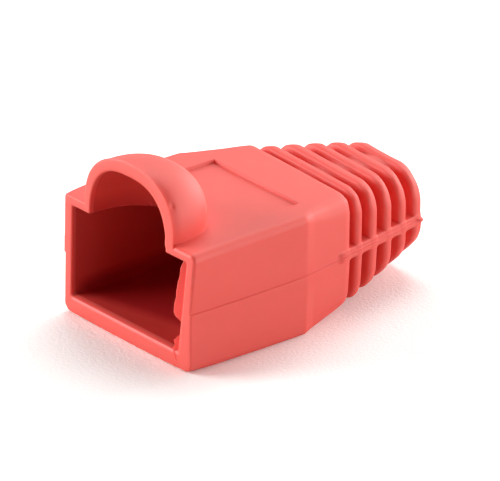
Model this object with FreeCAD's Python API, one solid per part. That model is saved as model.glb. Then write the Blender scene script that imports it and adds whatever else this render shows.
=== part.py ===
import FreeCAD, Part
import math
import os

# Strain relief boot for an 8-way modular plug: one moulding in soft PVC.
# Millimetres. X runs across, Y from the open mouth to the cable end, Z up.
# The origin is on the flat underside, in the middle of the overall box.

# plug end: a box that widens slightly from its mouth to a crease
mouth_width = 14.0
crease_width = 14.3
body_height = 9.3
body_length = 10.8
edge_round = 0.4
rim_round = 0.15

# pocket for the rear of the plug
side_wall = 0.95
floor_wall = 1.5
roof_wall = 0.7
pocket_length = 11.3
pocket_draft = 0.15
core_shift = 0.2
mouth_lead_in = 0.25

# hood over the plug's latch
hood_width = 9.5
hood_depth = 5.5
hood_straight = 1.3
hood_leg = 0.45
hood_rise = 4.25
hood_side_wall = 0.6
hood_top_wall = 1.05
hood_back_wall = 0.6

# sloping scoop in the top, behind the hood
scoop_start = 6.5
scoop_end = 12.1
scoop_width = 9.5
scoop_depth = 0.45

# tail: narrows from the crease, its four long corners opening into facets
lead_length = 5.2
end_width = 8.5
end_height = 7.5
end_facet = 2.0
end_crown = 0.1
facet_bow = 0.1

# ribs and grooves that let the tail bend, tied by a web along the parting plane
groove_count = 5
groove_width = 0.93
rib_width = 0.79
rib_round = 0.3
web_height = 0.8

# hollow for the cable: a funnel, a cone and a straight bore, in a round core
neck_radius = 3.5
bore_radius = 3.0
neck_setback = 0.05
cone_length = 4.6
core_wall = 0.6

# places that follow from the sizes above
parting_height = body_height / 2
groove_pitch = groove_width + rib_width
first_groove = body_length + lead_length
overall_length = first_groove + groove_count * groove_pitch
tail_length = overall_length - body_length
pocket_width = mouth_width - 2 * side_wall
pocket_roof = body_height - roof_wall
neck_place = first_groove - neck_setback
bore_place = neck_place + cone_length
hood_spring = body_height + hood_leg
overshoot = 1.0
hair = 1e-6

across = FreeCAD.Vector(1, 0, 0)
along = FreeCAD.Vector(0, 1, 0)
up = FreeCAD.Vector(0, 0, 1)
centre = FreeCAD.Vector(0, 0, 0)
half_turn = 180
diagonal = math.sqrt(0.5)


def point(x, y, z):
    return FreeCAD.Vector(x, y, z)


def line(start, end):
    return Part.LineSegment(start, end).toShape()


def bowed(start, end, outward, bow):
    # a line from start to end, or an arc whose middle stands out by bow
    if bow == 0:
        return line(start, end)
    middle = (start + end) * 0.5 + outward * bow
    return Part.Arc(start, middle, end).toShape()


def outer_section(y, width, height, facet, crown):
    # a rectangle about the parting plane with its four corners cut to facets
    half = width / 2
    low = parting_height - height / 2
    high = parting_height + height / 2
    right_low = point(half, y, low + facet)
    right_high = point(half, y, high - facet)
    top_right = point(half - facet, y, high)
    top_left = point(facet - half, y, high)
    left_high = point(-half, y, high - facet)
    left_low = point(-half, y, low + facet)
    bottom_left = point(facet - half, y, low)
    bottom_right = point(half - facet, y, low)
    up_right = point(diagonal, 0, diagonal)
    up_left = point(-diagonal, 0, diagonal)
    return Part.Wire([
        line(right_low, right_high),
        bowed(right_high, top_right, up_right, facet_bow),
        bowed(top_right, top_left, up, crown),
        bowed(top_left, left_high, up_left, facet_bow),
        line(left_high, left_low),
        bowed(left_low, bottom_left, -up_right, facet_bow),
        bowed(bottom_left, bottom_right, -up, crown),
        bowed(bottom_right, right_low, -up_left, facet_bow),
    ])


def skin_between(sections):
    # straight skins from each section to the next, the flat ones as true planes
    faces = []
    for face in Part.makeLoft(sections, True, True).Faces:
        corners = [vertex.Point for vertex in face.OuterWire.OrderedVertexes]
        outline = Part.makePolygon(corners + corners[:1])
        straight_edged = abs(outline.Length - face.OuterWire.Length) < hair
        if straight_edged and face.findPlane():
            face = Part.Face(outline)
        faces.append(face)
    shell = Part.Shell(faces)
    shell.sewShape()
    solid = Part.Solid(shell)
    solid.fix(0, 0, 0)
    return solid


def tail_blend(y, at_crease, at_end):
    # a size that changes evenly from the crease to the cable end
    return at_crease + (at_end - at_crease) * (y - body_length) / tail_length


def tail_section(y, inset):
    return outer_section(
        y,
        tail_blend(y, crease_width, end_width) - 2 * inset,
        tail_blend(y, body_height, end_height) - 2 * inset,
        tail_blend(y, edge_round, end_facet),
        tail_blend(y, 0, end_crown),
    )


def box_end():
    # the box for the plug and the plain lead of the tail behind it
    inset = 2 * rim_round
    mouth = outer_section(0, mouth_width - inset, body_height - inset, edge_round, 0)
    rim = outer_section(rim_round, mouth_width, body_height, edge_round, 0)
    crease = tail_section(body_length, 0)
    lip = tail_section(first_groove, 0)
    return skin_between([mouth, rim, crease, lip])


def rib(index):
    # one rib: its edge towards the mouth is rounded, its far edge is crisp
    start = first_groove + groove_width + index * groove_pitch
    end = start + rib_width
    knee = rib_round * (1 - diagonal)
    sections = [
        tail_section(start, rib_round),
        tail_section(start + knee, knee),
        tail_section(start + rib_round, 0),
    ]
    if index < groove_count - 1:
        sections.append(tail_section(end, 0))
    else:
        sections.append(tail_section(end - rim_round, 0))
        sections.append(tail_section(end, rim_round))
    return skin_between(sections)


def core():
    # the tapered core round the cable that shows at the bottom of the grooves, rooted in the lead
    start = neck_place - groove_width
    end = overall_length - rim_round
    taper = (neck_radius - bore_radius) / (end - neck_place)
    return Part.makeCone(
        neck_radius + core_wall + taper * groove_width,
        bore_radius + core_wall,
        end - start,
        point(0, start, parting_height),
        along,
    )


def web():
    # the flat strip along both sides, flush with the ribs
    start = first_groove
    end = overall_length - rib_width / 2
    low = parting_height - web_height / 2
    front_half = tail_blend(start, crease_width, end_width) / 2
    back_half = tail_blend(end, crease_width, end_width) / 2
    plan = Part.makePolygon([
        point(front_half, start, low),
        point(back_half, end, low),
        point(-back_half, end, low),
        point(-front_half, start, low),
        point(front_half, start, low),
    ])
    return Part.Face(plan).extrude(up * web_height)


def rectangle(y, width, low, high, middle):
    corners = [
        point(middle + width / 2, y, low),
        point(middle + width / 2, y, high),
        point(middle - width / 2, y, high),
        point(middle - width / 2, y, low),
    ]
    return Part.makePolygon(corners + corners[:1])


def circle_in_quarters(y, radius):
    # four arcs that start and end on the diagonals, to match a rectangle's corners
    reach = radius * diagonal
    hub = point(0, y, parting_height)
    low_right = hub + point(reach, 0, -reach)
    high_right = hub + point(reach, 0, reach)
    high_left = hub + point(-reach, 0, reach)
    low_left = hub + point(-reach, 0, -reach)
    return Part.Wire([
        Part.Arc(low_right, hub + across * radius, high_right).toShape(),
        Part.Arc(high_right, hub + up * radius, high_left).toShape(),
        Part.Arc(high_left, hub - across * radius, low_left).toShape(),
        Part.Arc(low_left, hub - up * radius, low_right).toShape(),
    ])


def pocket():
    # the drafted pocket for the plug, its flared mouth and the funnel to the neck
    flare = rectangle(
        0,
        pocket_width + 2 * mouth_lead_in,
        floor_wall - mouth_lead_in,
        pocket_roof + mouth_lead_in,
        -core_shift,
    )
    throat = rectangle(mouth_lead_in, pocket_width, floor_wall, pocket_roof, -core_shift)
    back = rectangle(
        pocket_length,
        pocket_width - 2 * pocket_draft,
        floor_wall + pocket_draft,
        pocket_roof - pocket_draft,
        -core_shift,
    )
    neck = circle_in_quarters(neck_place, neck_radius)
    plug_space = skin_between([flare, throat, back])
    funnel = skin_between([back, neck])
    return plug_space.fuse(funnel)


def cable_bore():
    # a cone from the funnel's neck, then the straight bore out of the cable end
    neck = point(0, neck_place, parting_height)
    cone = Part.makeCone(neck_radius, bore_radius, cone_length, neck, along)
    start = point(0, bore_place, parting_height)
    length = overall_length - bore_place + overshoot
    return cone.fuse(Part.makeCylinder(bore_radius, length, start, along))


def hood_plan(half, depth):
    # half of the hood's plan: a straight side, then a quarter of an ellipse
    quarter = Part.Arc(point(1, 0, 0), point(diagonal, diagonal, 0), point(0, 1, 0))
    stretch = FreeCAD.Matrix()
    stretch.scale(half, depth - hood_straight, 1)
    back = quarter.toShape().transformGeometry(stretch)
    back.translate(along * hood_straight)
    outline = [
        line(centre, point(half, 0, 0)),
        line(point(half, 0, 0), point(half, hood_straight, 0)),
        back,
        line(point(0, depth, 0), centre),
    ]
    return Part.Face(Part.Wire(outline))


def dome(half, depth, spring, rise, base):
    # the plan turned half way round, squashed to its rise, on legs down to the base
    plan = hood_plan(half, depth)
    squash = FreeCAD.Matrix()
    squash.scale(1, 1, rise / half)
    crown = plan.revolve(centre, along, -half_turn).transformGeometry(squash)
    drop = up * (base - spring)
    legs = [plan.extrude(drop), plan.mirror(centre, across).extrude(drop)]
    whole = crown.fuse(legs)
    whole.translate(up * spring)
    return whole


def hood_outside():
    base = body_height - edge_round
    return dome(hood_width / 2, hood_depth, hood_spring, hood_rise, base)


def hood_inside():
    half = hood_width / 2 - hood_side_wall
    depth = hood_depth - hood_back_wall
    rise = hood_leg + hood_rise - hood_top_wall
    space = dome(half, depth, body_height, rise, parting_height)
    space.translate(across * -core_shift)
    return space


def scoop():
    # a wedge that is deepest at its back wall
    top_at_end = parting_height + tail_blend(scoop_end, body_height, end_height) / 2
    left = -scoop_width / 2
    start = point(left, scoop_start, body_height)
    deep = point(left, scoop_end, top_at_end - scoop_depth)
    above_deep = point(left, scoop_end, body_height + overshoot)
    above_start = point(left, scoop_start, body_height + overshoot)
    side = Part.Face(Part.makePolygon([start, deep, above_deep, above_start, start]))
    return side.extrude(across * scoop_width)


def boot():
    ribs = [rib(index) for index in range(groove_count)]
    outside = box_end().fuse([hood_outside(), core(), web()] + ribs)
    moulding = outside.cut([pocket(), cable_bore(), hood_inside(), scoop()])
    moulding = moulding.removeSplitter()
    moulding.translate(along * (-overall_length / 2))
    return moulding.Solids[0]


os.makedirs("parts", exist_ok=True)
shape = boot()
shape.exportStep("parts/boot.step")
box = shape.BoundBox
print("boot", shape.isValid(), shape.ShapeType, "volume", round(shape.Volume, 2))
print("box", round(box.XLength, 3), round(box.YLength, 3), round(box.ZLength, 3))
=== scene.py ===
import math

import bpy
import numpy as np
from mathutils import Matrix, Vector


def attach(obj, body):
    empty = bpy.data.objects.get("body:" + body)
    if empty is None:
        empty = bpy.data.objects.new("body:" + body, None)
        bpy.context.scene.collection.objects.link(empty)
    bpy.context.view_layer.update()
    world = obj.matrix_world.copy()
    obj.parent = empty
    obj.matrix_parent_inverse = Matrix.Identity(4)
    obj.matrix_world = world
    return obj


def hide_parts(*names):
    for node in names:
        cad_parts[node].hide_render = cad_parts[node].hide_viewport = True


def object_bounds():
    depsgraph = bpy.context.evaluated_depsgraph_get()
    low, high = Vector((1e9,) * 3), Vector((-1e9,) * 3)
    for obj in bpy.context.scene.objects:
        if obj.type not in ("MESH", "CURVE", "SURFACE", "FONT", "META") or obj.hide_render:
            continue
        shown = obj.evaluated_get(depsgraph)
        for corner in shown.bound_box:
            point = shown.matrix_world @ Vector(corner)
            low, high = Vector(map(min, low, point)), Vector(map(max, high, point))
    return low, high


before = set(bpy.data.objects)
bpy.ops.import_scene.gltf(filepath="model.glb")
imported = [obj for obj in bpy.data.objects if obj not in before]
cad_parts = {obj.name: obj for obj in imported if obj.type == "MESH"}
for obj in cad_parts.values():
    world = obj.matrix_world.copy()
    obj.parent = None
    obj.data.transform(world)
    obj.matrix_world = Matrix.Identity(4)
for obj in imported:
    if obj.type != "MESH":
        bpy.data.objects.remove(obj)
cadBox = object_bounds()
print("frame loaded")

# Soft PVC strain relief boot for a modular plug.
# Sizes below are in millimetres: x across, y from the open mouth back, z up from the floor.
mm = 0.001
cadLow = np.array(cadBox[0]) / mm
cadHigh = np.array(cadBox[1]) / mm
rimSetBack = 0.07  # room for the flash that stands in front of the mouth
mouthAt = cadLow[1] + rimSetBack

body = dict(
    length=cadHigh[1] - cadLow[1] - 0.2,  # the bent tail's left corner swings back by the rest
    parting=4.66,  # height of the parting plane, and of the cable's axis
    halfWidth=7.06, widthGain=0.06, leftMore=0.05,
    roof=9.28,
    crease=10.83,
    sideTaper=0.1606, sideCurve=0.0033, sideDraft=0.03,
    topTaper=0.016, topCurve=0.0034, underTaper=0.019, underCurve=0.0041,
    # the top stands higher along its left edge, from just behind the mouth, and arches up a little
    roofLift=0.15, liftReach=1.5, liftArch=0.5, liftMiddle=0.25, liftSlope=0.75,
    cornerCurl=0.12, curlPower=2.2, curlReach=2.4,  # the underside curls up to the mouth's two corners
    facetAtMouth=0.42, facetAtCrease=0.3, facetLeft=0.04, facetTaper=0.065,
    underAtMouth=0.42, underAtCrease=0.06, underOpening=0.03,
    ribFacet=1.03, ribFacetTaper=0.108, ribFacetUnder=1.04, ribFacetUnderTaper=0.2,
    cornerSoft=0.17, cornerLeft=0.08, cornerWorn=0.14, cornerCrisp=0.5, cornerReach=3,
    facetBow=0.1, crown=0.08, crownFrom=0.25, crownLoss=2,  # the crown is full a quarter of the way back
    mouthRound=0.13, mouthRoundHigh=0.3, endRound=0.15,
    mismatch=0.055, mismatchBlend=0.012,  # the two halves of the mould stood this far off line, each way
    burr=0.03, burrHigh=1.2, burrBack=0.8,  # flash on the left of the mouth, above the parting plane
    ridge=0.06, ridgeHalf=0.05, ridgeFrom=11.4, ridgeRise=0.5,  # flash along the right of the tail
    nub=(0.26, 0.3, 0.13), nubBack=0.3,  # torn gate at the tail's right end: its half sizes, and its place
    # the right wall's lean at middle height, and what is added towards the floor and the roof
    leanLow=0.13, leanMiddle=-0.24, leanHigh=0.44, leanPower=1.4, leanReach=8.0, leanAt=4.0,
)

tail = dict(
    lips=(16.07, 17.50, 19.23, 20.92, 22.61),
    groove=(0.72, 0.93, 0.93, 0.93, 0.93),
    frontRound=0.4, lipRound=0.16, draft=0.05,
    coreFront=4.05, coreTaper=0.058, coreFillet=0.14,
    webHeight=0.8, webRound=0.07,
    rootDepth=1.0, pastEnd=1.0,  # core and web are rooted in the lead, and the last rib is cut off at the end
    bendMost=4.3, bendReach=4.4,  # the soft tail has set to the right: degrees, and where that evens out
    endSlant=0.0215, slantRise=0.5,  # the last rib thins towards its left
)

hood = dict(
    middle=-0.04, halfWidth=4.77, spring=9.77, rise=4.17, depth=5.49,
    acrossPower=2.22, alongPower=2.58,
    foot=0.02, footBack=0.03,  # fillet to the roof, at the mouth and at the back
    lip=0.06, lipLength=0.12,  # raised edge round the opening
    # the right side has sunk a little just behind that edge, most at its pit
    sink=0.2, sinkFrom=0.09, sinkLate=0.4, sinkLength=0.5, sinkLeft=1.2, sinkAcross=2.6,
    pit=(4.08, 0.5, 12.1), pitRadius=0.13, pitDepth=0.16, pitUpright=0.3,
)

scoop = dict(
    start=6.5, ahead=0.5, end=12.07, left=-4.68, right=4.75,
    depthLeft=0.19, depthRight=0.27, edge=0.05, corner=0.08,
    hollowed=0.5, hollowedShare=0.25,  # the floor falls early along the left wall, evenly past this share
)

hollow = dict(
    left=-6.25, rightDeep=5.85, rightMouthLow=5.36, rightMouthGain=0.105, mouthReach=7.0,
    floor=1.5, ceiling=8.58, back=11.3, neck=15.6, neckRadius=3.5, boreStart=20.2, boreRadius=3.0,
    corner=0.2, cornerDeep=1.2, lead=0.14, leadLength=0.4, edge=0.05, draft=0.012,
    archMiddle=-0.17, archHalf=4.16, archSpring=8.1, archRise=4.84, archDepth=4.95,
    archPower=2.66, archBackPower=2.4,
    burr=(4.1, 0.1, 9.3), burrSize=(0.24, 0.3, 0.55),  # on the arch's right foot: its place and half sizes
)


def roundedBoth(a, b, radius):
    # inside both a and b, with the edge between them rounded
    reach = np.hypot(np.maximum(a + radius, 0), np.maximum(b + radius, 0))
    return np.minimum(-radius, np.maximum(a, b)) + reach


def filletedEither(a, b, radius):
    # inside a or b, with a fillet where they meet
    return -roundedBoth(-a, -b, radius)


def superDome(x, y, z, half, depth, rise, acrossPower, alongPower):
    # (|x|/half)^p + (z/rise)^p, then with (|y|/depth)^q, is 1 on the dome: made a distance by its size
    smallest = 0.05  # the size at the dome's centre, kept off zero
    up = np.maximum(z, 0)
    ring = (np.abs(x / half) ** acrossPower + (up / rise) ** acrossPower) ** (1 / acrossPower)
    size = (ring ** alongPower + np.abs(y / depth) ** alongPower) ** (1 / alongPower)
    size = np.maximum(size, smallest)
    return (size - 1) / size * np.sqrt(x * x + y * y + up * up)


def behindCrease(y):
    return np.maximum(y - body["crease"], 0)


def halfWidthAt(y):
    # even along the sleeve, then drawn in by a quadratic behind the crease
    back = behindCrease(y)
    start = body["halfWidth"] - body["widthGain"] * np.clip(1 - y / body["crease"], 0, 1)
    return start - body["sideTaper"] * back - body["sideCurve"] * back ** 2


def dropAt(y, over):
    # how far the top, or the underside, has come in towards the parting plane
    p = body
    back = behindCrease(y)
    top = p["topTaper"] * back + p["topCurve"] * back ** 2
    under = p["underTaper"] * back + p["underCurve"] * back ** 2
    return np.where(over, top, under)


def facetAt(y, x, over):
    # width of the facet on a long corner: slim on the sleeve, slimmest along its top left, wide on the ribs
    p = body
    back = behindCrease(y)
    along = np.clip(y / p["crease"], 0, 1)
    start = p["facetAtMouth"] + (p["facetAtCrease"] - p["facetAtMouth"]) * along
    start = np.where(x < 0, p["facetLeft"], start)
    below = p["underAtMouth"] + (p["underAtCrease"] - p["underAtMouth"]) * along
    below = below + p["underOpening"] * back ** 2
    sleeve = np.where(over, start + p["facetTaper"] * back, below)
    ribs = y - tail["lips"][1]
    top = p["ribFacet"] + p["ribFacetTaper"] * ribs
    under = p["ribFacetUnder"] + p["ribFacetUnderTaper"] * ribs
    onRibs = y > tail["lips"][0] + tail["groove"][0] / 2
    return np.where(onRibs, np.where(over, top, under), sleeve)


def curlAt(x, y):
    # height of the underside over the floor: a power of the way to the side, faded by a square from the mouth
    share = np.minimum(np.abs(x / halfWidthAt(y)), 1) ** body["curlPower"]
    return body["cornerCurl"] * share * np.clip(1 - y / body["curlReach"], 0, 1) ** 2


def sideLean(y, z):
    # the right wall bows in at mid height and out at the top, most at the mouth
    p = body
    above = np.clip((z - p["leanAt"]) / (p["roof"] - p["leanAt"]), 0, 1) ** p["leanPower"]
    below = np.clip((p["leanAt"] - z) / p["leanAt"], 0, 1) ** p["leanPower"]
    fade = np.clip(1 - y / p["leanReach"], 0, 1) ** 2
    return (p["leanMiddle"] + p["leanHigh"] * above + p["leanLow"] * below) * fade


def envelope(x, y, z):
    # octagon between side walls, top and bottom, with its corners cut to facets: negative within it
    p = body
    up = z - p["parting"]
    slip = p["mismatch"] * np.tanh(up / p["mismatchBlend"])
    across = x + slip
    wide = halfWidthAt(y)
    draft = p["sideDraft"] * np.abs(up) * np.clip(behindCrease(y), 0, 1)
    more = p["leftMore"] * np.clip(1 - y / p["crease"], 0, 1)
    more = more + p["burr"] * np.exp(-(y / p["burrBack"]) ** 2) * ((up > 0) & (up < p["burrHigh"]))
    ridgeStart = np.clip((y - p["ridgeFrom"]) / p["ridgeRise"], 0, 1)
    ridge = p["ridge"] * np.exp(-(up / p["ridgeHalf"]) ** 2) * ridgeStart
    side = np.maximum(across - wide - sideLean(y, z) - ridge, -across - wide - more) + draft
    facet = facetAt(y, x, up > 0)
    drop = dropAt(y, up > 0)
    back = behindCrease(y) / (p["length"] - p["crease"])
    rise = p["crown"] * np.clip(back / p["crownFrom"], 0, 1) * (1 - p["crownLoss"] * back ** 2)
    crown = rise * np.clip(1 - (x / (wide - facet)) ** 2, -1, 1)
    arch = 1 + p["liftArch"] * np.sin(np.pi * np.clip(y / p["crease"], 0, 1))
    leftward = np.clip(p["liftMiddle"] - p["liftSlope"] * x / wide, 0, 1)
    lift = p["roofLift"] * (1 - np.exp(-y / p["liftReach"])) * arch * leftward
    over = up - (p["roof"] - p["parting"]) - lift
    flat = np.maximum(over, curlAt(x, y) - up - p["parting"]) + drop - crown
    bow = p["facetBow"] * back * np.clip(1 - ((side - flat) / facet) ** 2, 0, 1)
    cut = (side + flat + facet) * math.sqrt(0.5) - bow
    sleeve = np.where((x < 0) & (up > 0), p["cornerLeft"] + p["cornerWorn"] * np.exp(-y), p["cornerSoft"])
    sleeveShare = np.clip(1 - behindCrease(y) / p["cornerReach"], 0, 1)
    soft = p["cornerCrisp"] + (sleeve - p["cornerCrisp"]) * sleeveShare
    shape = roundedBoth(roundedBoth(side, cut, soft), flat, soft)
    high = np.clip(up / (p["roof"] - p["parting"]), 0, 1) * (x > 0)
    shape = roundedBoth(shape, -y, p["mouthRound"] + (p["mouthRoundHigh"] - p["mouthRound"]) * high)
    shape = roundedBoth(shape, y - p["length"], p["endRound"])
    wideEnd = halfWidthAt(p["length"])
    a, b, c = p["nub"]
    nub = np.sqrt(((x - wideEnd) / a) ** 2 + ((y - p["length"] + p["nubBack"]) / b) ** 2 + (up / c) ** 2)
    return np.minimum(shape, (nub - 1) * c)


def grooved(x, y, z):
    # ribs cut from the envelope, joined by a round core and a web along the parting plane
    p = tail
    shape = envelope(x, y, z)
    up = z - body["parting"]
    widen = p["draft"] * np.maximum(-shape, 0)
    solid = roundedBoth(shape, y - p["lips"][0] - widen, p["lipRound"])
    ends = p["lips"][1:] + (body["length"] + p["pastEnd"],)
    for lip, width, end in zip(p["lips"], p["groove"], ends):
        rib = roundedBoth(shape, lip + width - widen - y, p["frontRound"])
        rib = roundedBoth(rib, y - end - widen, p["lipRound"])
        solid = np.minimum(solid, rib)
    core = np.hypot(x, up) - p["coreFront"] + p["coreTaper"] * (y - p["lips"][0])
    beforeRoot = p["lips"][0] - p["rootDepth"] - y
    core = np.maximum(core, np.maximum(beforeRoot, y - body["length"] + body["endRound"]))
    web = roundedBoth(shape, np.abs(up) - p["webHeight"] / 2, p["webRound"])
    web = np.maximum(web, beforeRoot)
    inner = filletedEither(core, web, p["coreFillet"])
    return filletedEither(solid, inner, p["coreFillet"])


def hoodOutside(x, y, z):
    # the lip and the sink are bells along y, the pit a bell round its place
    p = hood
    lip = p["lip"] * np.exp(-(y / p["lipLength"]) ** 2)
    onRight = np.clip((x - p["sinkLeft"]) / p["sinkAcross"], 0, 1)
    started = np.clip(y / p["sinkFrom"] - p["sinkLate"], 0, 1)
    sink = p["sink"] * onRight * np.exp(-(y / p["sinkLength"]) ** 2) * started
    a, b, c = p["pit"]
    away = (x - a) ** 2 + (y - b) ** 2 + p["pitUpright"] * (z - c) ** 2
    pit = p["pitDepth"] * np.exp(-away / p["pitRadius"] ** 2)
    dome = superDome(
        x - p["middle"], y, z - p["spring"],
        p["halfWidth"], p["depth"], p["rise"], p["acrossPower"], p["alongPower"],
    )
    dome = np.maximum(dome - lip + sink + pit, body["parting"] - z)
    return roundedBoth(dome, -y, body["mouthRound"] / 2)


def scoopSpace(x, y, z):
    # the wedge over a floor that falls towards its back wall, by a power of the way along
    p = scoop
    along = (y - p["start"]) / (p["end"] - p["start"])
    across = np.clip((x - p["left"]) / (p["right"] - p["left"]), 0, 1)
    power = p["hollowed"] + (1 - p["hollowed"]) * np.minimum(across / p["hollowedShare"], 1)
    fall = np.maximum(along, 0) ** power + np.minimum(along, 0)
    depth = p["depthLeft"] + (p["depthRight"] - p["depthLeft"]) * across
    above = body["roof"] - depth * fall - z
    walls = np.maximum(y - p["end"], np.maximum(p["left"] - x, x - p["right"]))
    walls = np.maximum(walls, p["start"] - p["ahead"] - y)
    return roundedBoth(above, walls, p["corner"])


def outside(x, y, z):
    back = np.clip(y / hood["depth"], 0, 1) ** 2
    foot = hood["foot"] + (hood["footBack"] - hood["foot"]) * back
    shape = filletedEither(grooved(x, y, z), hoodOutside(x, y, z), foot)
    return roundedBoth(shape, -scoopSpace(x, y, z), scoop["edge"])


def inside(x, y, z):
    # pocket with a slanted right wall at the mouth, funnel, cone and bore, and the space in the hood:
    # negative within it, and widened by a quarter round at both ends
    p = hollow
    up = z - body["parting"]
    near = np.clip(1 - y / p["mouthReach"], 0, 1)
    rightMouth = p["rightMouthLow"] + p["rightMouthGain"] * z
    right = p["rightDeep"] + (rightMouth - p["rightDeep"]) * near
    lead = np.clip(1 - y / p["leadLength"], 0, 1) * p["lead"]
    draft = p["draft"] * y
    walls = np.maximum(x - right, p["left"] - x) + draft
    flats = np.maximum(z - p["ceiling"], p["floor"] - z - lead) + draft
    corner = p["corner"] + (p["cornerDeep"] - p["corner"]) * np.clip(y / p["back"], 0, 1)
    pocket = roundedBoth(walls, flats, corner)
    neckward = np.clip((y - p["neck"]) / (p["boreStart"] - p["neck"]), 0, 1)
    pipe = np.hypot(x, up) - (p["neckRadius"] + (p["boreRadius"] - p["neckRadius"]) * neckward)
    funnel = np.clip((y - p["back"]) / (p["neck"] - p["back"]), 0, 1)
    tube = pocket + (pipe - pocket) * funnel
    arch = superDome(
        x - p["archMiddle"], y, z - p["archSpring"],
        p["archHalf"], p["archDepth"], p["archRise"], p["archPower"], p["archBackPower"],
    )
    arch = np.maximum(arch, body["parting"] - z)
    space = filletedEither(tube, arch, p["edge"])
    (a, b, c), (wide, long, tall) = p["burr"], p["burrSize"]
    burr = np.sqrt(((x - a) / wide) ** 2 + ((y - b) / long) ** 2 + ((z - c) / tall) ** 2)
    space = np.maximum(space, (1 - burr) * wide)
    ends = np.minimum(np.maximum(y, 0), np.maximum(body["length"] - y, 0))
    rest = np.maximum(p["edge"] - ends, 0)
    return space - (p["edge"] - np.sqrt(np.maximum(p["edge"] ** 2 - rest ** 2, 0)))


def solid(x, y, z):
    # negative in the wall between the outside and the hollow
    return np.maximum(outside(x, y, z), -inside(x, y, z))


def spread(start, end, count, ease=0.0):
    # count steps from start, the end left out; ease 1 crowds them towards both ends
    t = np.arange(count) / count
    return start + (end - start) * ((1 - ease) * t + ease * (0.5 - 0.5 * np.cos(np.pi * t)))


boot = dict(
    # ends of the bands of rows: rim, sunk band, hood, its foot, behind it; then the inner arch and its back
    rimEnd=0.8, sinkEnd=1.5, hoodEnd=4.9, footEnd=5.55, behindFoot=5.9,
    archFrom=2.0, archEnd=4.6, archPast=5.0,
    # half widths of the bands round the crease, the scoop's back wall, a rib's lip and the pocket's back
    aroundCrease=0.5, aroundWall=0.12, aroundLip=0.1, aroundBack=0.2,
    lipSoft=0.24, hairline=0.004,  # rows that crowd inside a groove's two edges
    # how many columns follow each place of the corner lists, and how they crowd: from the left parting round
    # the underside, the right side and the roof
    columns=(7, 5, 13, 12, 12, 12, 12, 13, 5, 7, 7, 5, 13, 12, 12, 9, 43, 43, 9, 12, 12, 13, 5, 7),
    eases=("start", "even", "both", "both", "both", "both", "both", "both", "even", "end",
           "start", "even", "both", "both", "both", "even", "even", "even", "even", "both", "both", "both",
           "even", "end"),
    crowding=2.5,
    coreAcross=4.0, webFoot=0.03,  # where the columns cross from web to core, in the grooves
    # columns on either side of the hood's foot, and further out beside the scoop
    within=0.1, beyond=0.08, beyondScoop=0.22, clearShare=0.05, mostShare=0.9, footToScoop=0.5,
    rayLength=12.0, steps=26, hair=0.003,
    roofCorners=(15, 19), uprightFrom=5.7, uprightRise=0.3, uprightTo=13.4,
    endRings=3,  # rings of points across each end face
)


def outerRows():
    # places along the boot, crowded where the outside turns
    p = boot
    mouthRound, length, frontRound = body["mouthRound"], body["length"], tail["frontRound"]
    beforeCrease, afterCrease = body["crease"] - p["aroundCrease"], body["crease"] + p["aroundCrease"]
    beforeWall, afterWall = scoop["end"] - p["aroundWall"], scoop["end"] + p["aroundWall"]
    rows = [
        spread(0, mouthRound, 6, 0.5), spread(mouthRound, p["rimEnd"], 14),
        spread(p["rimEnd"], p["sinkEnd"], 5),
        spread(p["sinkEnd"], p["hoodEnd"], 30), spread(p["hoodEnd"], p["footEnd"], 13),
        spread(p["footEnd"], p["behindFoot"], 4), spread(p["behindFoot"], beforeCrease, 10),
        spread(beforeCrease, afterCrease, 6), spread(afterCrease, beforeWall, 2),
        spread(beforeWall, afterWall, 12), spread(afterWall, tail["lips"][0] - p["aroundLip"], 8),
    ]
    hairline, soft = p["hairline"], p["lipSoft"]
    ends = tail["lips"][1:] + (length,)
    for lip, width, end in zip(tail["lips"], tail["groove"], ends):
        front = lip + width
        rows += [
            spread(lip - p["aroundLip"], lip + hairline, 4, 0.6), spread(lip + hairline, lip + soft, 6),
            spread(lip + soft, front - soft, 3), spread(front - soft, front - hairline, 6),
            spread(front - hairline, front + frontRound, 7, 0.4),
            spread(front + frontRound, end - p["aroundLip"], 2),
        ]
    rows += [spread(length - p["aroundLip"], length, 5, 0.5), [length]]
    return np.unique(np.concatenate(rows).round(5))


def innerRows():
    # places along the boot, crowded where the hollow turns
    p = boot
    edge, lead, neck, length = hollow["edge"], hollow["leadLength"], hollow["neck"], body["length"]
    beforeBack, afterBack = hollow["back"] - p["aroundBack"], hollow["back"] + p["aroundBack"]
    rows = [
        spread(0, edge, 4), spread(edge, lead, 5), spread(lead, p["archFrom"], 7),
        spread(p["archFrom"], p["archEnd"], 12), spread(p["archEnd"], p["archPast"], 9),
        spread(p["archPast"], beforeBack, 8), spread(beforeBack, afterBack, 3), spread(afterBack, neck, 10),
        spread(neck, length - edge, 8), spread(length - edge, length, 3), [length],
    ]
    return np.concatenate(rows)


def columnAngles(corners):
    # corners holds, for each row, the (across, up) places that columns follow round the section
    angle = np.arctan2(corners[..., 1], corners[..., 0])
    angle[:, 0] = -np.pi
    angle[:, -1] = np.pi
    parts = []
    for k, (count, ease) in enumerate(zip(boot["columns"], boot["eases"])):
        t = np.arange(count) / count
        smooth = 0.5 - 0.5 * np.cos(np.pi * t)
        if ease == "start":
            smooth = t ** boot["crowding"]
        if ease == "end":
            smooth = 1 - (1 - t) ** boot["crowding"]
        if ease == "even":
            smooth = t
        parts.append(angle[:, k:k + 1] + (angle[:, k + 1:k + 2] - angle[:, k:k + 1]) * smooth)
    return np.concatenate(parts, axis=1)


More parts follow.
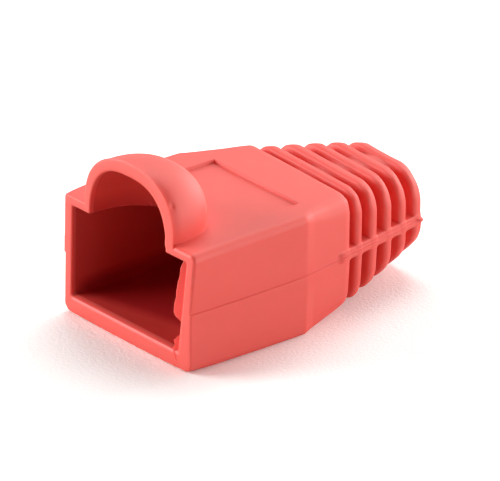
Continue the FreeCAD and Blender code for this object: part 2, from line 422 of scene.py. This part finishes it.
def outerCorners(y):
    # measured from the axis of the cable, starting at the left of the parting plane
    p = boot
    wide = halfWidthAt(y)
    right, left, under = facetAt(y, 1, True), facetAt(y, -1, True), facetAt(y, 1, False)
    high = body["roof"] - body["parting"] - dropAt(y, True)
    low = dropAt(y, False) - body["parting"] + curlAt(wide, y)
    web = tail["webHeight"] / 2
    # two columns stand close on either side of the hood's foot, and behind it of the scoop's walls
    power = hood["alongPower"]
    foot = hood["halfWidth"] * np.clip(1 - (y / hood["depth"]) ** power, 0, 1) ** (1 / power)
    behind = np.clip((y - hood["depth"]) / p["footToScoop"], 0, 1)
    # far enough out that a ray from the axis clears the scoop's floor
    clear = np.minimum(p["beyond"] + p["beyondScoop"] * behind, p["clearShare"] * (wide - right))
    most = p["mostShare"] * (wide - right)
    rightWall = np.minimum((hood["middle"] + foot) * (1 - behind) + scoop["right"] * behind, most)
    leftWall = np.maximum((hood["middle"] - foot) * (1 - behind) + scoop["left"] * behind, -most)
    zero = np.zeros_like(y)
    core, foot = zero + p["coreAcross"], zero + web + p["webFoot"]
    places = [
        (-wide, zero), (-wide, zero - web), (-core, -foot),
        (-wide, low + under), (under - wide, low), (zero, low),
        (wide - under, low), (wide, low + under), (core, -foot), (wide, zero - web),
        (wide, zero), (wide, zero + web), (core, foot),
        (wide, high - right), (wide - right, high),
        (rightWall + clear, high), (rightWall - p["within"], high), (zero, high),
        (leftWall + p["within"], high), (leftWall - clear, high),
        (left - wide, high), (-wide, high - left),
        (-core, foot), (-wide, zero + web), (-wide, zero),
    ]
    return np.stack([np.stack(c, axis=-1) for c in places], axis=1)


innerColumns = dict(
    corner=0.2, level=0.4, nextLevel=0.6,  # round each corner, and above and below the parting plane
    floorRight=5.4, footRight=5.6, lowRight=5.7, right=5.8, highRight=6.0,  # up the slanted right wall
)


def innerCorners(y):
    # the same places in every row, in the order of outerCorners
    p = innerColumns
    up = hollow["ceiling"] - body["parting"]
    down = hollow["floor"] - body["parting"]
    left, right, low = hollow["left"], p["right"], p["lowRight"]
    archRight = hollow["archMiddle"] + hollow["archHalf"]
    archLeft = hollow["archMiddle"] - hollow["archHalf"]
    corner, level, nextLevel = p["corner"], p["level"], p["nextLevel"]
    places = [
        (left, 0), (left, -level), (left, -nextLevel),
        (left, down + corner), (left + corner, down), (0, down),
        (p["floorRight"], down), (p["footRight"], down + corner), (low, -nextLevel), (low, -level),
        (right, 0), (right, level), (right, nextLevel),
        (p["highRight"], up - corner), (right, up),
        (archRight + corner, up), (archRight - corner, up), (0, up),
        (archLeft + corner, up), (archLeft - corner, up),
        (left + corner, up), (left, up - corner),
        (left, nextLevel), (left, level), (left, 0),
    ]
    return np.tile(np.array(places, float), (len(y), 1, 1))


def uprightOverRoof(y, angles):
    # rays leave the axis, but behind the hood those over the roof start below their place on it, upright
    p = boot
    first, last = (sum(p["columns"][:corner]) for corner in p["roofCorners"])
    roof = slice(first, last + 1)
    risen = np.clip((y - p["uprightFrom"]) / p["uprightRise"], 0, 1) * np.clip(p["uprightTo"] - y, 0, 1)
    high = body["roof"] - body["parting"]
    across = high / np.tan(angles[:, roof])
    starts = np.zeros_like(angles)
    starts[:, roof] = across * risen[:, None]
    turned = angles.copy()
    turned[:, roof] = np.arctan2(high, across - starts[:, roof])
    return turned, starts


def castRows(field, y, angles, starts=0):
    # for each row and angle, the distance along the ray where the field changes sign, by halving
    # the end planes are cast a hair inside, where the field still has a sign
    near = np.zeros_like(angles)
    far = near + boot["rayLength"]
    hair = boot["hair"]
    cast = np.clip(y, hair, body["length"] - hair)[:, None] + near
    along = y[:, None] + near
    cos, sin = np.cos(angles), np.sin(angles)
    for _ in range(boot["steps"]):
        middle = (near + far) / 2
        within = field(starts + middle * cos, cast, body["parting"] + middle * sin) < 0
        near = np.where(within, middle, near)
        far = np.where(within, far, middle)
    return np.stack([starts + near * cos, along, body["parting"] + near * sin], axis=-1)


def between(first, last, count):
    # rings of points laid evenly from one row to another, both left out
    t = (np.arange(1, count + 1) / (count + 1))[:, None, None]
    return first[None] + (last - first)[None] * t


def slopes(points):
    # outward direction at each point, from central differences of the solid's field
    step = 0.01
    tiny = 1e-9
    x, y, z = points[:, 0], points[:, 1], points[:, 2]
    gradient = np.stack([
        solid(x + step, y, z) - solid(x - step, y, z),
        solid(x, y + step, z) - solid(x, y - step, z),
        solid(x, y, z + step) - solid(x, y, z - step),
    ], axis=1)
    return gradient / np.maximum(np.linalg.norm(gradient, axis=1, keepdims=True), tiny)


def closedGridFaces(rows, columns):
    # quads of a grid that wraps round both ways
    i = np.arange(rows)[:, None]
    j = np.arange(columns)[None, :]
    a = i * columns + j
    b = i * columns + (j + 1) % columns
    c = (i + 1) % rows * columns + (j + 1) % columns
    d = (i + 1) % rows * columns + j
    return np.stack([a, b, c, d], axis=-1).reshape(-1, 4)


def meshFrom(name, points, faces, material, normals=None):
    mesh = bpy.data.meshes.new(name)
    mesh.vertices.add(len(points))
    mesh.vertices.foreach_set("co", np.asarray(points, np.float32).ravel())
    mesh.loops.add(faces.size)
    mesh.loops.foreach_set("vertex_index", np.asarray(faces, np.int32).ravel())
    mesh.polygons.add(len(faces))
    mesh.polygons.foreach_set("loop_start", np.arange(len(faces), dtype=np.int32) * 4)
    mesh.polygons.foreach_set("use_smooth", np.ones(len(faces), bool))
    mesh.update(calc_edges=True)
    mesh.validate()
    if normals is not None:
        mesh.normals_split_custom_set_from_vertices(normals.tolist())
    mesh.materials.append(material)
    piece = bpy.data.objects.new(name, mesh)
    bpy.context.scene.collection.objects.link(piece)
    return piece


def toFrame(points):
    # from the boot's own millimetres to the frame's metres
    return (points + np.array([0.0, mouthAt, 0.0])) * mm


def bendAt(y):
    # angle = most (1 - exp(-back / reach)), the offset its integral, and the curvature its slope
    most, reach = math.radians(tail["bendMost"]), tail["bendReach"]
    back = behindCrease(y)
    fade = np.exp(-back / reach)
    offset = most * (back - reach * (1 - fade))
    return most * (1 - fade), offset, np.where(back > 0, most / reach * fade, 0)


def bent(points):
    # each cross-section keeps its shape, turned about the upright and moved sideways
    x, y, z = points[..., 0], points[..., 1], points[..., 2]
    angle, offset, _ = bendAt(y)
    lastRib = np.clip((y - tail["lips"][-1] - tail["groove"][-1]) / tail["slantRise"], 0, 1)
    thinned = tail["endSlant"] * lastRib * (halfWidthAt(y) - x)
    return np.stack([offset + x * np.cos(angle), y - thinned - x * np.sin(angle), z], axis=-1)


def bentNormals(points, normals):
    # across and up turn with the section; along shrinks on the inside of the bend
    angle, _, curvature = bendAt(points[:, 1])
    across, up = normals[:, 0], normals[:, 2]
    along = normals[:, 1] / (1 - curvature * points[:, 0])
    turned = np.stack([
        across * np.cos(angle) + along * np.sin(angle), along * np.cos(angle) - across * np.sin(angle), up,
    ], axis=1)
    return turned / np.linalg.norm(turned, axis=1, keepdims=True)


# painted shade in the hollow: how much of the darker within colour is mixed in, by place
paintedHollowShade = dict(
    wallShade=0.56, archShade=0.3, floorShade=1.0,  # share of the painted shade colour on the walls, arch and floor
    archFrom=8.6, archReach=1.5,  # height where the walls' share gives way to the arch's, and over how far
    # the floor's share is full below a height, and starts further back towards the right: painted shadow of
    # the left wall, deepest beside it
    floorTop=2.8, floorFrom=0.3, floorSlope=0.22, floorReach=1.2,
    endClear=0.08, endReach=0.32,  # there is none by the two ends
    coredFrom=0.6,  # depth behind each end where the cored surface starts
)


def paintedInnerShade(inner, fromEnd):
    # painted shade: walls to arch by height, then to the floor, and faded out at both ends
    p = paintedHollowShade
    across, depth, height = inner[..., 0], inner[..., 1], inner[..., 2]
    archward = np.clip((height - p["archFrom"]) / p["archReach"], 0, 1)
    shade = p["wallShade"] + (p["archShade"] - p["wallShade"]) * archward
    floorDepth = depth - p["floorFrom"] - (across - hollow["left"]) * p["floorSlope"]
    onFloor = np.clip(p["floorTop"] - height, 0, 1) * np.clip(floorDepth / p["floorReach"], 0, 1)
    shade = shade + (p["floorShade"] - shade) * onFloor
    return shade * np.clip((fromEnd - p["endClear"]) / p["endReach"], 0, 1)


def makeBoot(material, coredMaterial):
    # one skin: along the outside to the cable end, over the end, back along the hollow, over the rim
    outY, inY = outerRows(), innerRows()[::-1]
    outer = castRows(outside, outY, *uprightOverRoof(outY, columnAngles(outerCorners(outY))))
    inner = castRows(inside, inY, columnAngles(innerCorners(inY)))
    rings = boot["endRings"]
    grid = np.concatenate([
        outer, between(outer[-1], inner[0], rings), inner, between(inner[-1], outer[0], rings),
    ])
    rows, columns = grid.shape[:2]
    points = grid.reshape(-1, 3)
    faces = closedGridFaces(rows, columns)[:, ::-1]
    print("boot skin", rows, "rows", columns, "columns")
    skin = meshFrom("boot_skin", toFrame(bent(points)), faces, material, bentNormals(points, slopes(points)))
    innerPart = slice(len(outer) + rings, len(outer) + rings + len(inner))
    fromEnd = np.minimum(inner[..., 1], body["length"] - inner[..., 1])
    cored = np.zeros((rows, columns), np.int32)
    cored[innerPart] = fromEnd[:, :1] > paintedHollowShade["coredFrom"]
    skin.data.materials.append(coredMaterial)
    skin.data.polygons.foreach_set("material_index", cored.ravel())
    # painted shade inside the hollow, carried to the materials as the within attribute
    within = np.zeros((rows, columns), np.float32)
    within[innerPart] = paintedInnerShade(inner, fromEnd)
    layer = skin.data.attributes.new("within", "FLOAT", "POINT")
    layer.data.foreach_set("value", within.ravel())
    return skin


rimFlash = dict(
    # height and place across of the torn free edge, from the top down
    upper=((8.62, 5.92), (8.07, 5.64), (7.15, 5.47), (6.52, 5.28), (5.54, 5.16), (4.74, 4.97), (4.3, 4.96),
           (4.05, 5.1), (3.9, 5.5), (3.8, 5.78)),
    lower=((2.75, 5.64), (2.45, 5.34), (2.3, 5.28), (2.17, 5.06), (1.92, 5.17), (1.37, 5.03), (0.87, 5.2),
           (0.55, 5.45)),
    upperReach=(0.3, 0.02), lowerReach=(0.14, -0.02),  # depth of the root and of the free edge
    bury=0.07, rootThick=0.08, edgeThick=0.07, square=0.6,  # sunk in the wall, thicknesses, blunt edges
    wave=0.02, longWave=7.1, shortWave=17.3, shortShare=0.6,  # height, radians a millimetre, and share
    tipTaper=8, tipLeast=0.1, stations=90, ring=20,
)


def rimFlashPoints(outline, reach, seed):
    # flat rounded rings carried down the wall: root in it, free edge along the outline with small waves
    p = rimFlash
    heights, edges = np.array(outline).T
    t = np.linspace(0, 1, p["stations"])
    z = heights[0] + (heights[-1] - heights[0]) * t
    edge = np.interp(z, heights[::-1], edges[::-1])
    waves = np.sin(p["longWave"] * z + seed) + p["shortShare"] * np.sin(p["shortWave"] * z + 2 * seed)
    edge = edge + p["wave"] * waves * np.sin(np.pi * t)
    wall = hollow["rightMouthLow"] + hollow["rightMouthGain"] * z + p["bury"]
    turn = np.linspace(0, 2 * np.pi, p["ring"], endpoint=False)
    share = 0.5 - 0.5 * np.cos(turn)
    half = 0.5 * (p["rootThick"] + (p["edgeThick"] - p["rootThick"]) * share)
    half = half * np.sign(np.sin(turn)) * np.abs(np.sin(turn)) ** p["square"]
    half = half[None] * np.minimum(1, p["tipTaper"] * np.minimum(t, 1 - t) + p["tipLeast"])[:, None]
    alongX = (edge - wall)[:, None]
    alongY = reach[1] - reach[0]
    size = np.hypot(alongX, alongY)
    x = wall[:, None] + alongX * share - half * alongY / size
    y = reach[0] + alongY * share + half * alongX / size
    return np.stack([x, y, z[:, None] + 0 * x], axis=-1)


def tubeFaces(rows, columns, first):
    # quads of a tube that wraps round its rings, and a fan of triangles to a pole at each end
    i = np.arange(rows - 1)[:, None] * columns
    j = np.arange(columns)[None, :]
    k = (j + 1) % columns
    sides = np.stack([i + j, i + columns + j, i + columns + k, i + k], axis=-1).reshape(-1, 4) + first
    ring = np.arange(columns)
    after = (ring + 1) % columns
    last = (rows - 1) * columns
    poles = rows * columns + first
    top = np.stack([0 * ring + poles, ring + first, after + first], axis=-1)
    end = np.stack([0 * ring + poles + 1, after + last + first, ring + last + first], axis=-1)
    return sides.tolist() + top.tolist() + end.tolist()


def makeRimFlash(material):
    # the upper and the lower tongue in one mesh, each with a pole at both tips
    points, faces = [], []
    for seed, (outline, reach) in enumerate((("upper", "upperReach"), ("lower", "lowerReach"))):
        grid = rimFlashPoints(rimFlash[outline], rimFlash[reach], seed)
        first = sum(len(part) for part in points)
        faces += tubeFaces(grid.shape[0], grid.shape[1], first)
        points.append(np.concatenate([grid.reshape(-1, 3), grid[[0, -1]].mean(axis=1)]))
    mesh = bpy.data.meshes.new("rim_flash")
    mesh.from_pydata(toFrame(np.concatenate(points)).tolist(), [], faces)
    mesh.polygons.foreach_set("use_smooth", np.ones(len(mesh.polygons), bool))
    mesh.materials.append(material)
    piece = bpy.data.objects.new("rim_flash", mesh)
    bpy.context.scene.collection.objects.link(piece)
    return piece


def linear(hexColour):
    # sRGB hex to the linear values that shaders take
    values = [int(hexColour[i:i + 2], 16) / 255 for i in (1, 3, 5)]
    return [v / 12.92 if v <= 0.04045 else ((v + 0.055) / 1.055) ** 2.4 for v in values] + [1.0]


def addNode(tree, kind, inputs=(), **settings):
    # a node with its settings, and its inputs as values or as other nodes' outputs
    node = tree.nodes.new(kind)
    for key, value in settings.items():
        setattr(node, key, value)
    for key, value in dict(inputs).items():
        if isinstance(value, bpy.types.NodeSocket):
            tree.links.new(value, node.inputs[key])
        else:
            node.inputs[key].default_value = value
    return node


def newMaterial(name):
    material = bpy.data.materials.new(name)
    material.use_nodes = True
    tree = material.node_tree
    tree.nodes.clear()
    output = addNode(tree, "ShaderNodeOutputMaterial")
    return material, tree, output


pvc = dict(
    colour="#e65147", paler="#ea594e", within="#a12124",  # within is painted shade: a darker red mixed into the hollow, where less light reaches
    roughness=0.55, ior=1.53, specular=0.5,
    specularWithin=0.02,  # hardly any gloss shows deep inside
    grainSize=0.09, grainDepth=0.004, grainDetail=2.0, grainRough=0.6,
    blotchSize=3.0, blotchDetail=3.0, blotchRough=0.55,
    thin="#ff3a31", thinPaler="#ff4439",  # flash thin enough for light to come through: that light is painted in as a deeper, brighter colour
    scatter=0.35, scatterReach=0.9,  # share of light that goes in, and how far, in mm
    scatterColour=(1.0, 0.22, 0.14),
)


def softPvc(name, plain, paler, inner, gloss):
    # plasticised PVC from a fine-sparked mould: satin, evenly coloured, slightly clouded; the inner colour is
    # mixed in as painted shade where the within attribute is high
    material, tree, output = newMaterial(name)
    place = addNode(tree, "ShaderNodeTexCoord").outputs["Object"]
    grain = addNode(tree, "ShaderNodeTexNoise", {
        "Vector": place, "Scale": 1 / (pvc["grainSize"] * mm), "Detail": pvc["grainDetail"],
        "Roughness": pvc["grainRough"]})
    blotch = addNode(tree, "ShaderNodeTexNoise", {
        "Vector": place, "Scale": 1 / (pvc["blotchSize"] * mm), "Detail": pvc["blotchDetail"],
        "Roughness": pvc["blotchRough"]})
    colour = addNode(tree, "ShaderNodeMix", {
        "Factor": blotch.outputs["Fac"], "A": linear(plain), "B": linear(paler)},
        data_type="RGBA")
    # painted shade: the inner colour darkens the hollow by the within attribute
    within = addNode(tree, "ShaderNodeAttribute", attribute_name="within")
    shade = addNode(tree, "ShaderNodeMix", {
        "Factor": within.outputs["Fac"], "A": colour.outputs["Result"], "B": linear(inner)},
        data_type="RGBA")
    bump = addNode(tree, "ShaderNodeBump", {
        "Height": grain.outputs["Fac"], "Distance": pvc["grainDepth"] * mm, "Strength": 1.0})
    shader = addNode(tree, "ShaderNodeBsdfPrincipled", {
        "Base Color": shade.outputs["Result"], "Normal": bump.outputs["Normal"],
        "Roughness": pvc["roughness"], "IOR": pvc["ior"], "Specular IOR Level": gloss,
        "Subsurface Weight": pvc["scatter"], "Subsurface Radius": pvc["scatterColour"],
        "Subsurface Scale": pvc["scatterReach"] * mm})
    tree.links.new(shader.outputs["BSDF"], output.inputs["Surface"])
    return material


floorLook = dict(
    colour="#f2f3f1", seen=1.4, size=400.0,
    fibre=0.28, fibreDepth=0.05, fibreDetail=4.0, fibreRough=0.65,
)


def paleFelt():
    # white felt, matt, with a short fibrous nap
    material, tree, output = newMaterial("paleFelt")
    place = addNode(tree, "ShaderNodeTexCoord").outputs["Object"]
    fibre = addNode(tree, "ShaderNodeTexNoise", {
        "Vector": place, "Scale": 1 / (floorLook["fibre"] * mm), "Detail": floorLook["fibreDetail"],
        "Roughness": floorLook["fibreRough"]})
    bump = addNode(tree, "ShaderNodeBump", {
        "Height": fibre.outputs["Fac"], "Distance": floorLook["fibreDepth"] * mm, "Strength": 1.0})
    plain = linear(floorLook["colour"])
    matt = addNode(tree, "ShaderNodeBsdfDiffuse", {"Color": plain, "Normal": bump.outputs["Normal"]})
    # the lens sees the felt over-exposed; the boot is lit by it at its plain level
    bright = [v * floorLook["seen"] for v in plain[:3]] + [1.0]
    seen = addNode(tree, "ShaderNodeBsdfDiffuse", {"Color": bright, "Normal": bump.outputs["Normal"]})
    rays = addNode(tree, "ShaderNodeLightPath")
    pick = addNode(tree, "ShaderNodeMixShader", {
        0: rays.outputs["Is Camera Ray"], 1: matt.outputs[0], 2: seen.outputs[0]})
    tree.links.new(pick.outputs[0], output.inputs["Surface"])
    return material


def makeFloor():
    half = floorLook["size"] * mm
    points = np.array([(-half, -half, 0), (half, -half, 0), (half, half, 0), (-half, half, 0)])
    floor = meshFrom("floor", points, np.array([[0, 1, 2, 3]]), paleFelt())


lamps = dict(
    distance=300.0, size=200.0,
    #  azimuth right of the mouth's axis, elevation, watts
    frontLeft=(315, 12, 1.46), right=(90, 12, 0.25), backRight=(135, 12, 0.49), back=(180, 19, 0.62),
    high=(225, 60, 0.52),
)


def addLamp(name, azimuth, elevation, power):
    # a soft panel that faces the boot, out of the camera's sight
    light = bpy.data.lights.new(name, "AREA")
    light.shape = "SQUARE"
    light.size = lamps["size"] * mm
    light.energy = power
    lamp = bpy.data.objects.new(name, light)
    lamp.visible_camera = False
    bpy.context.scene.collection.objects.link(lamp)
    turn, lift = math.radians(azimuth), math.radians(elevation)
    towards = Vector((
        math.sin(turn) * math.cos(lift), -math.cos(turn) * math.cos(lift), math.sin(lift)))
    place = towards * lamps["distance"] * mm + Vector((0, 0, body["parting"] * mm))
    lamp.matrix_world = Matrix.Translation(place) @ towards.to_track_quat("Z", "Y").to_matrix().to_4x4()


def makeLight():
    world = bpy.data.worlds.new("softTent")
    bpy.context.scene.world = world
    world.use_nodes = True
    tree = world.node_tree
    tree.nodes.clear()
    output = addNode(tree, "ShaderNodeOutputWorld")
    # a white tent that the lens and the gloss see, and that adds no light of its own
    rays = addNode(tree, "ShaderNodeLightPath")
    either = addNode(tree, "ShaderNodeMath", {
        0: rays.outputs["Is Camera Ray"], 1: rays.outputs["Is Glossy Ray"]}, operation="MAXIMUM")
    dark = addNode(tree, "ShaderNodeBackground", {"Color": linear("#000000"), "Strength": 0.0})
    white = addNode(tree, "ShaderNodeBackground", {"Color": linear("#ffffff"), "Strength": 1.0})
    pick = addNode(tree, "ShaderNodeMixShader", {
        0: either.outputs[0], 1: dark.outputs[0], 2: white.outputs[0]})
    tree.links.new(pick.outputs[0], output.inputs["Surface"])
    for name in ("frontLeft", "right", "backRight", "back", "high"):
        addLamp(name, *lamps[name])


view = dict(
    azimuth=47.615, elevation=24.744, roll=1.529, distance=366.13, aim=(-2.282, 13.729, 3.261),
    lens=360.0, sensor=36.0, nearest=10.0,
)


def makeCamera():
    # looks at the aim from an azimuth to the right of the mouth's axis and an elevation, turned by the roll
    azimuth, elevation, roll = (math.radians(view[k]) for k in ("azimuth", "elevation", "roll"))
    back = Vector((
        math.sin(azimuth) * math.cos(elevation),
        -math.cos(azimuth) * math.cos(elevation),
        math.sin(elevation),
    ))
    right = (-back).cross(Vector((0, 0, 1))).normalized()
    up = right.cross(-back)
    turned = right * math.cos(roll) + up * math.sin(roll)
    upright = up * math.cos(roll) - right * math.sin(roll)
    aim = Vector(toFrame(np.array(view["aim"])))
    place = aim + back * view["distance"] * mm
    data = bpy.data.cameras.new("camera")
    data.lens = view["lens"]
    data.sensor_width = view["sensor"]
    data.clip_start = view["nearest"] * mm
    camera = bpy.data.objects.new("camera", data)
    bpy.context.scene.collection.objects.link(camera)
    turn = Matrix((turned, upright, back)).transposed().to_4x4()
    camera.matrix_world = Matrix.Translation(place) @ turn
    bpy.context.scene.camera = camera


bpy.context.scene.view_settings.view_transform = "Standard"
# both boot materials mix in the within colour as painted shade inside the hollow
skin = makeBoot(
    softPvc("softPvcMoulded", pvc["colour"], pvc["paler"], pvc["within"], pvc["specular"]),
    softPvc("softPvcCored", pvc["colour"], pvc["paler"], pvc["within"], pvc["specularWithin"]),
)
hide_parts("boot")
flash = makeRimFlash(
    softPvc("softPvcThinFlash", pvc["thin"], pvc["thinPaler"], pvc["thin"], pvc["specular"]))
for piece in (skin, flash):
    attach(piece, "root")
print("boot made")
makeFloor()
makeLight()
makeCamera()
print("floor, light and camera made")
